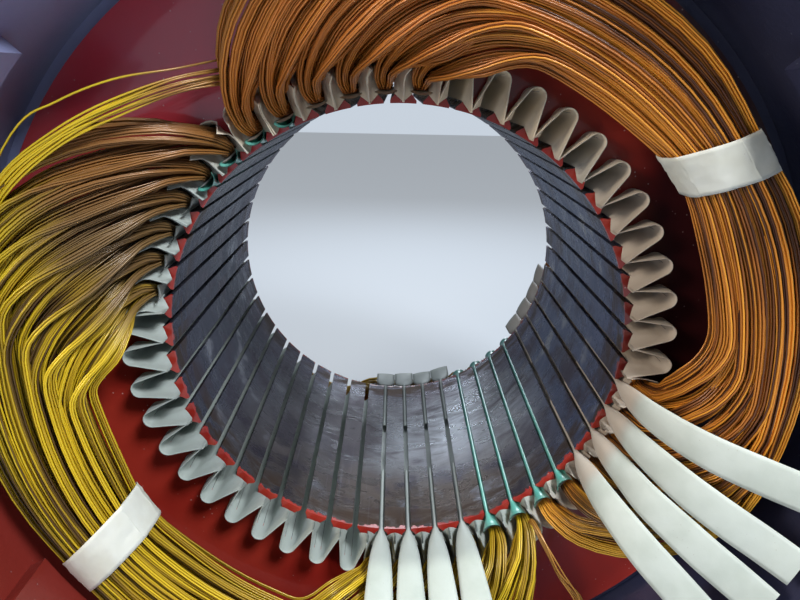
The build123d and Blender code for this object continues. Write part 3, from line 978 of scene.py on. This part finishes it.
# %% Coils as pieces
def wire_shades(seed):
    """A shade from 0 to 1 for each wire, close together within a strand."""
    random = np.random.default_rng(seed)
    return 0.5 * random.uniform(0, 1, strand_count)[strand] + 0.5 * random.uniform(0, 1, wire_count)


all_paths = {"right": [], "left": []}


def coil_piece(c, side, material):
    """One coil as a piece, its outer wires rounder than its hidden ones."""
    paths = coil_paths(c, side)
    all_paths[side].append(paths.reshape(-1, 3))
    shade = wire_shades(500 + 10 * c + (side == "left"))
    groups = [(paths[outside], shade[outside], 4, True), (paths[~outside], shade[~outside], 3, True)]
    if side == "left" and c == coils_a_side - 1:
        # Shades above 1 mark these as stray wires: the wire material makes them bright and keeps its painted
        # shade to their right part
        groups += [(group, np.linspace(1.03, 1.3, len(group)), 5, False) for group in strays]
    points, quads, shades, first = [], [], [], 0
    for group, own, sides, closed in groups:
        tube_points, tube_quads = tubes(group, wire_radius, sides, closed)
        points.append(tube_points)
        quads.append(tube_quads + first)
        shades.append(np.repeat(own, group.shape[1] * sides))
        first += len(tube_points)
    points, quads, shades = np.concatenate(points), np.concatenate(quads), np.concatenate(shades)
    return mesh_piece(f"wires_{side}_{c + 1}", points, quads, material, shades)


triangles = []
for side, material in (("right", amber_wire), ("left", yellow_wire)):
    for c in range(coils_a_side):
        piece = coil_piece(c, side, material)
        triangles.append(2 * len(piece.data.polygons))
        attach(piece, "root")
        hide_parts(f"coil_{side}_{c + 1}")
print(len(triangles), "coils of up to", max(triangles), "triangles,", sum(triangles), "in all")

# %% [markdown]
# ## Slot liners
#
# Each slot is lined with folded paper that stands out of the core at both ends,
# with a cuff turned back outside.
# Over an empty slot it is a petal: round at the slot's bottom, with straight legs that open until
# the lips of two neighbours meet in front of the tooth between them.
# Over a wound slot its legs are pressed aside by the bundle: beside the upper coils they stand up
# as horns between the bundles, and beside the lower ones only the lips rise a little.
# A swept profile could not change its shape on the way, so each row of points is worked out by itself.

# %% Slot liners
petal_reach = 0.0150
# Depth beyond the face and offset of the skin: out to the rim, over it and back along the cuff
liner_profile = (
    (0.0, 0.0), (0.0012, 0.0), (0.003, 0.0), (0.006, 0.0), (0.009, 0.0), (0.012, 0.0), (0.0143, 0.0),
    (petal_reach, 0.0003), (0.0147, 0.0007), (0.012, 0.0008), (0.009, 0.0008), (0.0065, 0.0008),
    (0.0062, paper_thickness), (0.003, paper_thickness), (0.0012, paper_thickness), (0.0, paper_thickness),
)


def slot_outline(half_mouth, half_round, mouth, centre, leg_points=6, arc_points=12):
    """The U of a liner from lip to lip, across and radius, with legs tangent to the round bottom."""
    to_lip = math.hypot(half_mouth, centre - mouth)
    start = math.atan2(mouth - centre, half_mouth) + math.acos(half_round / to_lip)
    turn = np.linspace(math.pi - start, start, arc_points)
    arc = np.stack([half_round * np.cos(turn), centre + half_round * np.sin(turn)], axis=1)
    along = np.linspace(0, 1, leg_points)[:-1, None]
    leg = np.array([-half_mouth, mouth]) * (1 - along) + arc[0] * along
    return np.concatenate([leg, arc, leg[::-1] * [-1, 1]])


def outward(outline, amount):
    """The outline moved outwards by an amount."""
    along = np.gradient(outline, axis=0)
    along /= np.linalg.norm(along, axis=1, keepdims=True)
    normal = np.stack([-along[:, 1], along[:, 0]], axis=1)
    return outline + amount * normal


def liner_rows(k, wound, end, random):
    """The rows of a liner at one end, from inside the core out to the rim and back along the cuff."""
    flare = random.uniform(0.93, 1.02)
    lean = random.normal(0, 0.00025)
    opening = 0.0055 if end < 0 else 0.0040
    drop = 0.0054 if end < 0 else 0.0
    widen = 0.0049 if wound else -0.0009
    settle = -0.0030 if wound else 0.0010
    tall, horn_place, horn_width = random.uniform(0.0095, 0.0120), 0.50, 0.085
    if k > 22:
        tall, horn_place, horn_width = random.uniform(0.002, 0.004), 0.93, 0.12
    towards = -1 if k in range(11, 17) or k in range(35, 41) else 1
    rows = []
    for depth, offset in liner_profile:
        part = (depth / petal_reach) ** 1.25
        lip = min(1.0, depth / (0.0025 if wound else 0.006)) ** 0.8
        outline = slot_outline(
            half_mouth=0.00435 + opening * lip * flare, half_round=0.00585 + widen * part,
            mouth=0.1560 - drop * lip, centre=round_centre_radius + settle * part,
        )
        outline = outward(outline, offset)
        outline[:, 0] += lean * part
        place = np.abs(np.linspace(-1, 1, len(outline)))
        angle = slot_angle(k) + np.arctan2(outline[:, 0], outline[:, 1])
        if wound:
            horn = np.exp(-(((place - horn_place) / horn_width) ** 2)) * part
            extra = (tall + 0.002) * horn - 0.002 * part
            angle += towards * math.radians(1.4) * horn * (k < 23)
        else:
            extra = 0.0014 * place**8 * part
        rows.append(polar(np.hypot(outline[:, 0], outline[:, 1]), angle, end * (face_y + depth + extra)))
    return rows

# %% Lids, and all liners
def lid_grid(k):
    """Paper folded shut over a wound slot, opening into a shallow gutter under each end of the bundle."""
    half_widths = np.array([-1, -0.7, -0.35, 0, 0.35, 0.7, 1])
    rows = []
    for y in (-0.1315, -0.1280, -0.1240, -0.1200, -0.05, 0.05, 0.1200, 0.1240, 0.1280, 0.1315):
        out = smooth(abs(y), 0.1205, 0.1315)
        x = half_widths * (0.0043 + 0.0024 * out)
        r = 0.1567 - 0.0016 * out + 0.0014 * (0.3 + out) * half_widths**2
        x = np.concatenate([x, x[::-1]])
        r = np.concatenate([r, r[::-1] + paper_thickness])
        rows.append(polar(r, slot_angle(k) + x / r, y))
    return np.stack(rows)


liner_groups = {
    "right": [47] + list(range(0, 11)),
    "top": list(range(11, 23)),
    "left": list(range(23, 35)),
    "bottom": list(range(35, 47)),
}
wound_slots = set(range(11, 23)) | set(range(35, 47))
random = np.random.default_rng(21)
for group, slots in liner_groups.items():
    work = Patchwork()
    for k in slots:
        wound = k in wound_slots
        rows = liner_rows(k, wound, -1, random)[::-1] + liner_rows(k, wound, 1, random)
        work.add(np.stack(rows), wrap_rows=True)
        if wound:
            work.add(lid_grid(k), wrap_columns=True)
    piece = work.piece(f"liners_{group}", slot_paper)
    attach(piece, "root")
    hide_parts(f"slot_liners_{group}")
print("liners:", slot_count, "slots,", len(wound_slots), "of them wound")

# %% [markdown]
# ## Slot caps
#
# Green film closes eight finished slots: a narrow ridge fills the slot's opening,
# and outside the core it opens into an arch over the wires.
# The two shapes have as many points, so the film is a blend from one to the other along the slot.

# %% Slot caps
cap_slots = {"top": [15, 16, 17, 18], "bottom": [39, 40, 41, 42]}
ridge_half = np.array([
    (4.2, 156.9), (3.0, 156.3), (2.0, 155.6), (1.75, 153.8), (1.6, 152.2), (1.2, 151.1), (0.0, 150.7),
]) / 1000
ridge = np.concatenate([ridge_half * [-1, 1], ridge_half[-2::-1]])
arch_turn = np.radians(np.linspace(-84, 84, len(ridge)))


def cap_grid(k):
    """Film over one slot, as a grid along the slot and back on its other side."""
    rows = []
    for depth in (-0.121, -0.04, -0.0015, 0.0, 0.0015, 0.003, 0.005, 0.007, 0.009, 0.011, 0.0128, 0.0138):
        open_part = smooth(depth, -0.001, 0.0095)
        lip = smooth(depth, 0.0095, 0.0138)
        arch = np.stack([
            (0.0060 + 0.0008 * lip) * np.sin(arch_turn),
            0.1524 - 0.0008 * lip + 0.0056 * (1 - np.cos(arch_turn)),
        ], axis=1)
        rows.append((depth, ridge * (1 - open_part) + arch * open_part))
    near = [(-face_y - depth, line) for depth, line in rows[::-1]]
    far = [(face_y + depth, line) for depth, line in rows[1:]]
    top = np.stack([
        polar(np.hypot(line[:, 0], line[:, 1]), slot_angle(k) + np.arctan2(line[:, 0], line[:, 1]), y)
        for y, line in near + far
    ])
    lower = top.copy()
    scale = 1 + film_thickness / np.hypot(top[..., 0], top[..., 2])
    lower[..., 0] *= scale
    lower[..., 2] *= scale
    return np.concatenate([top, lower[:, ::-1]], axis=1)


for group, slots in cap_slots.items():
    work = Patchwork()
    for k in slots:
        work.add(cap_grid(k), wrap_columns=True)
    piece = work.piece(f"caps_{group}", cap_film)
    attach(piece, "root")
    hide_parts(f"slot_caps_{group}")
print("caps: 8 slots")

# %% [markdown]
# ## Feeder strips
#
# White paper strips guide the next wires into eight slots.
# Inside the slot a strip is folded narrow. Outside, it opens to its full width
# and bends outwards over the bundles.
# Cloth physics could drape it, but a spline with a width and a crown at each key stays where it is put.

# %% Feeder strips
strip_points = 48
strip_groups = {"bottom": [35, 36, 37, 38], "right": [43, 44, 45, 46]}
# How far each strip swings sideways by its end, in degrees
strip_swing = {35: 0.8, 36: 0.2, 37: -0.3, 38: -1.0, 43: -4.2, 44: -4.2, 45: -5.0, 46: -2.4}


def strip_grid(k, keys, columns=9):
    """A strip from keys: depth, radius, half width, crown, sideways angle."""
    line = spline(keys, strip_points)
    depth, radius, half, crown, swing = line.T
    d_depth, d_radius = np.gradient(depth), np.gradient(radius)
    size = np.hypot(d_depth, d_radius)
    up_depth, up_radius = d_radius / size, -d_depth / size
    place = np.linspace(-1, 1, columns)
    grids = []
    for offset in (0.0, -strip_thickness):
        lift = crown[:, None] * (1 - place[None, :] ** 2) + offset
        x = half[:, None] * place[None, :]
        r = radius[:, None] + up_radius[:, None] * lift
        y = depth[:, None] + up_depth[:, None] * lift
        angle = slot_angle(k) + swing[:, None] + np.arctan2(x, r)
        grids.append(polar(np.hypot(x, r), angle, y))
    return np.concatenate([grids[0], grids[1][:, ::-1]], axis=1)


def near_strip(k, random):
    """A long strip: straight out of the slot, then up a slope that lies on the end turns."""
    wave = random.uniform(-1, 1, 6) / 1000
    swing = math.radians(strip_swing[k])
    return [
        (-0.082, 0.1535, 0.00165, 0.0010, 0), (-0.05, 0.1535, 0.00165, 0.0010, 0),
        (-0.012, 0.1534, 0.0017, 0.0012, 0), (0.000, 0.1526, 0.0021, 0.0015, 0),
        (0.011, 0.1522, 0.0048, 0.0022, 0), (0.026, 0.1540, 0.0074, 0.0022, 0),
        (0.045, 0.1605 + wave[0], 0.0090, 0.0016, 0.08 * swing),
        (0.0635, 0.1725 + wave[1], 0.0102, 0.0011, 0.25 * swing),
        (0.0765, 0.1895 + wave[2], 0.0110, 0.0008, 0.45 * swing),
        (0.0850 + wave[3], 0.2105, 0.0114, 0.0010, 0.68 * swing),
        (0.0905 + wave[4], 0.2320, 0.0115, 0.0009, 0.86 * swing),
        (0.0970 + 1.5 * wave[5], 0.2540, 0.0114, 0.0006, swing),
    ]


def far_strip(random):
    """A short strip that ends just outside the far face."""
    tip = random.uniform(-1, 1)
    return [
        (-0.082, 0.1535, 0.00165, 0.0010, 0), (-0.04, 0.1535, 0.00165, 0.0010, 0),
        (0.0, 0.1533, 0.0020, 0.0015, 0), (0.007, 0.1533, 0.0060, 0.0020, 0),
        (0.014, 0.1530, 0.0094, 0.0015, 0), (0.022, 0.1525, 0.0098, 0.001, 0),
        (0.035 + 0.001 * tip, 0.1516 - 0.0004 * tip, 0.0098, 0.0008, 0),
    ]


random = np.random.default_rng(77)
for group, slots in strip_groups.items():
    for end, sign in (("near", -1), ("far", 1)):
        work = Patchwork()
        for k in slots:
            keys = near_strip(k, random) if end == "near" else far_strip(random)
            grid = strip_grid(k, keys)
            grid[..., 1] = sign * (face_y + grid[..., 1])
            work.add(grid, wrap_columns=True)
        piece = work.piece(f"strips_{end}_{group}", slot_paper)
        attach(piece, "root")
        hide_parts(f"feeder_strips_{end}_{group}")
print("strips: 8 near, 8 far")

# %% [markdown]
# ## Tape round the bundles
#
# Paper tape holds the wires of each group together at both ends.
# Its loop is the outline that a string pulled round the wires would take, so it always fits them.

# %% Tape bands
tape_half_width = 0.0128
tape_skew = {"right": math.radians(-84), "left": math.radians(65)}


def bundle_outline(side, end, count):
    """A smooth loop round the wires of one group under its tape: radius and depth."""
    points = np.concatenate(all_paths[side])
    points = points[points[:, 1] * end > face_y + 0.03]
    away = np.arctan2(points[:, 2], points[:, 0]) - tape_angle[side]
    away = (away + math.pi) % (2 * math.pi) - math.pi
    points = points[np.abs(away) < math.radians(5)]
    flat = np.stack([np.hypot(points[:, 0], points[:, 2]), np.abs(points[:, 1]) - face_y], axis=1)
    turn = np.linspace(0, 2 * math.pi, count, endpoint=False)
    normal = np.stack([np.cos(turn), np.sin(turn)], axis=1)
    support = (flat @ normal.T).max(axis=0) + wire_radius + 0.0004
    kernel = np.array([1, 2, 3, 2, 1]) / 9
    support = sum(np.roll(support, k - 2) * kernel[k] for k in range(5))
    slope = (np.roll(support, -1) - np.roll(support, 1)) / (4 * math.pi / count)
    tangent = np.stack([-np.sin(turn), np.cos(turn)], axis=1)
    return support[:, None] * normal + slope[:, None] * tangent, normal

# %% The bands
def tape_grid(side, end, random, count=96, columns=11):
    """A loop of tape, slightly creased, with its outer and inner skin."""
    outline, normal = bundle_outline(side, end, count)
    inner, outer = outline[:, 0].min() * 1000, outline[:, 0].max() * 1000
    print(side, "tape from radius", np.round(inner, 1), "to", np.round(outer, 1), "mm")
    crease = random.normal(0, 0.00016, (count, columns))
    crease = (np.roll(crease, 1, axis=0) + 2 * crease + np.roll(crease, -1, axis=0)) / 2
    place = np.linspace(-tape_half_width, tape_half_width, columns)
    skins = []
    for lift in (0.0, paper_thickness):
        r = outline[:, :1] + (crease + lift) * normal[:, :1]
        d = outline[:, 1:] + (crease + lift) * normal[:, 1:]
        skew = tape_skew[side] * (outline[:, :1] - tape_middle[side])
        skins.append(polar(r, tape_angle[side] + skew + place[None, :] / r, end * (face_y + d)))
    return np.concatenate([skins[0], skins[1][:, ::-1]], axis=1)


random = np.random.default_rng(9)
for side in ("right", "left"):
    for end, sign in (("near", -1), ("far", 1)):
        work = Patchwork()
        work.add(tape_grid(side, sign, random), wrap_rows=True, wrap_columns=True)
        piece = work.piece(f"tape_band_{end}_{side}", paper_tape)
        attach(piece, "root")
        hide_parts(f"tape_{end}_{side}")
print("tape: 4 bands")

# %% [markdown]
# ## Lifting eyes
#
# Forged eye bolts, round in section, with a flat collar. The whole motor is lifted by them.
# The collar is turned from a profile, and the ring is a grid swept round a circle,
# because its bar has to be a little thicker at the foot than a plain torus is.

# %% Lifting eyes
def lathe(profile, place, count=40):
    """A solid turned about a vertical axis through place, from (radius, height) pairs."""
    profile = np.array(profile)
    turn = np.linspace(0, 2 * math.pi, count, endpoint=False)
    x = profile[:, :1] * np.cos(turn)[None, :]
    y = profile[:, :1] * np.sin(turn)[None, :]
    z = np.repeat(profile[:, 1:], count, axis=1)
    return np.stack([x, y, z], axis=-1) + np.array(place)


def eye_ring(place, radius, bar):
    """A ring in the YZ plane whose bar is a little thicker at its foot."""
    turn = np.linspace(0, 2 * math.pi, 56, endpoint=False)[:, None]
    ring = np.linspace(0, 2 * math.pi, 18, endpoint=False)[None, :]
    thick = bar * (1 + 0.10 * np.clip(-np.cos(turn), 0, 1) ** 3)
    out = radius + thick * np.cos(ring)
    points = np.stack([thick * np.sin(ring) + 0 * turn, out * np.sin(turn), out * np.cos(turn)], axis=-1)
    return points + np.array(place)


eye_foot_z, eye_centre_z = 0.293, 0.330
eye_radius, eye_bar_radius = 0.0262, 0.0070
eye_collar = [
    (0.0001, 0.0000), (0.0190, 0.0000), (0.0198, 0.0008), (0.0200, 0.0022), (0.0200, 0.0075),
    (0.0194, 0.0092), (0.0180, 0.0100), (0.0130, 0.0104), (0.0105, 0.0118), (0.0095, 0.0150),
    (0.0001, 0.0155),
]
for end, y in (("near", -0.120), ("far", 0.120)):
    work = Patchwork()
    work.add(lathe(eye_collar, (0, y, eye_foot_z)), wrap_columns=True)
    ring = eye_ring((0, y, eye_centre_z), eye_radius, eye_bar_radius)
    work.add(ring, wrap_rows=True, wrap_columns=True)
    piece = work.piece(f"eye_{end}", eye_steel)
    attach(piece, "root")
    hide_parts(f"lifting_eye_{end}")
print("two lifting eyes")

# %% [markdown]
# ## CAD nodes that are shown
#
# The core, housing and feet are hard, machined or cast, so the CAD shape is already the real one.
# They only get their finish here.

# %% Finish of the CAD nodes
materials_shown = {"core_": lamination_steel, "housing": housing_paint, "foot_": housing_paint}
shown = []
for name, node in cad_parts.items():
    for start, material in materials_shown.items():
        if name.startswith(start):
            node.data.materials.clear()
            node.data.materials.append(material)
            shown.append(name)
print(sorted(shown))

# %% [markdown]
# ## Floor, light and camera
#
# A pale floor carries the feet. A cool main lamp from the upper right, a warm one from the left,
# a wide bluish one and one from behind light the winding, so that neighbouring wires stay apart to the eye.
# Background and floor look paler to the camera than they light the object.

# %% Floor
foot_z = -0.315
bpy.ops.mesh.primitive_plane_add(size=12, location=(0, 0, foot_z))
floor = bpy.context.object
floor.name = "floor"
floor_material, floor_shader = new_material("floor_grey", Roughness=0.7)
floor_shader.inputs["Base Color"].default_value = (0.38, 0.41, 0.45, 1)
floor_shader.inputs["Emission Color"].default_value = (0.62, 0.66, 0.70, 1)
floor_path = floor_material.node_tree.nodes.new("ShaderNodeLightPath")
floor_seen = times(floor_material, floor_path.outputs["Is Camera Ray"], 0.45)
link(floor_material, floor_seen, floor_shader.inputs["Emission Strength"])
floor.data.materials.append(floor_material)

# %% World
world = bpy.data.worlds.new("studio")
bpy.context.scene.world = world
world.use_nodes = True
background = world.node_tree.nodes["Background"]
background.inputs["Color"].default_value = (0.72, 0.80, 0.90, 1)
light_path = world.node_tree.nodes.new("ShaderNodeLightPath")
seen = math_node(world, "MULTIPLY_ADD", light_path.outputs["Is Camera Ray"], 0.60, 0.20)
glossy = math_node(world, "MULTIPLY_ADD", light_path.outputs["Is Glossy Ray"], 0.12, seen)
link(world, glossy, background.inputs["Strength"])

# %% Lamps
def area_light(name, place, aim, size, power, colour):
    """A square lamp that looks at a point."""
    data = bpy.data.lights.new(name, "AREA")
    data.size = size
    data.energy = power
    data.color = colour
    lamp = bpy.data.objects.new(name, data)
    lamp.location = place
    lamp.rotation_euler = (Vector(aim) - Vector(place)).to_track_quat("-Z", "Y").to_euler()
    bpy.context.scene.collection.objects.link(lamp)
    return lamp


area_light("key", (0.75, -1.05, 1.30), (0, -0.1, 0), 0.45, 38, (0.92, 0.96, 1.0))
area_light("side", (-1.25, -0.95, 0.75), (0, 0, 0), 0.5, 16, (1.0, 0.90, 0.78))
area_light("sky", (-0.85, -1.45, 0.42), (-0.15, -0.1, 0.15), 1.3, 3.0, (0.62, 0.75, 1.0))
area_light("back", (0.05, 1.6, 0.90), (0, 0, -0.1), 0.6, 14, (0.84, 0.92, 1.0))

# %% Camera
camera_data = bpy.data.cameras.new("camera")
camera_data.lens = 30.24
camera_data.sensor_width = 36
camera_data.clip_start = 0.01
camera = bpy.data.objects.new("camera", camera_data)
bpy.context.scene.collection.objects.link(camera)
camera.location = (-0.00525, -0.538, 0.16245)
forward = Vector((0.0128, 0.9507, -0.3097))
roll = Matrix.Rotation(math.radians(1.15), 3, "Z")
camera.rotation_euler = (forward.to_track_quat("-Z", "Y").to_matrix() @ roll).to_euler()
bpy.context.scene.camera = camera
bpy.context.scene.view_settings.view_transform = "Standard"
print("camera at", tuple(round(v, 3) for v in camera.location))
